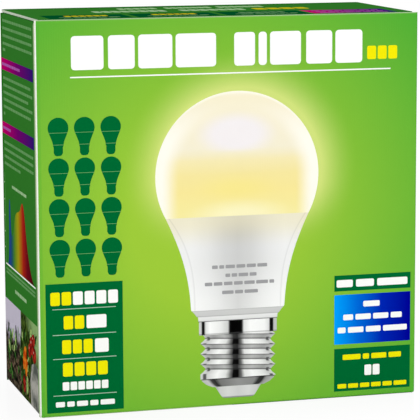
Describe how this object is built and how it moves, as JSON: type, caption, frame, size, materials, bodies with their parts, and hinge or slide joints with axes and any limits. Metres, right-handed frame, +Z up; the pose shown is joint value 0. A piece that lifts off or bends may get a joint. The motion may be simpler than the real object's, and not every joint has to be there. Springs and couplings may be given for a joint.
{
  "type": "light bulb carton",
  "caption": "Upright printed retail carton for screw-base LED grow light bulbs, with a hinged tuck-in lid and a slotted partition that holds a bulb in each cell.",
  "frame": {"origin": "middle of the base, on the surface the carton stands on", "axes": "+Z up, front panel faces -Y, +X to the right seen from the front"},
  "size_m": [0.2582, 0.12, 0.2578],
  "materials": {
    "printed_board": "satin",
    "plain_board": "matte",
    "bulb": "satin"
  },
  "bodies": {
    "carton": {"carton": "printed_board", "shelf_1": "plain_board", "shelf_2": "plain_board", "shelf_3": "plain_board", "upright_1": "plain_board", "upright_2": "plain_board", "bulb_1": "bulb", "bulb_2": "bulb", "bulb_3": "bulb", "bulb_4": "bulb", "bulb_5": "bulb", "bulb_6": "bulb", "bulb_7": "bulb", "bulb_8": "bulb", "bulb_9": "bulb", "bulb_10": "bulb", "bulb_11": "bulb", "bulb_12": "bulb"},
    "lid": {"lid": "printed_board"}
  },
  "joints": [
    {"name": "lid_hinge", "type": "hinge", "parent": "carton", "child": "lid", "pos_m": [0, 0.06, 0.2578], "axis": [-1, 0, 0], "range_deg": [0, 265]}
  ]
}
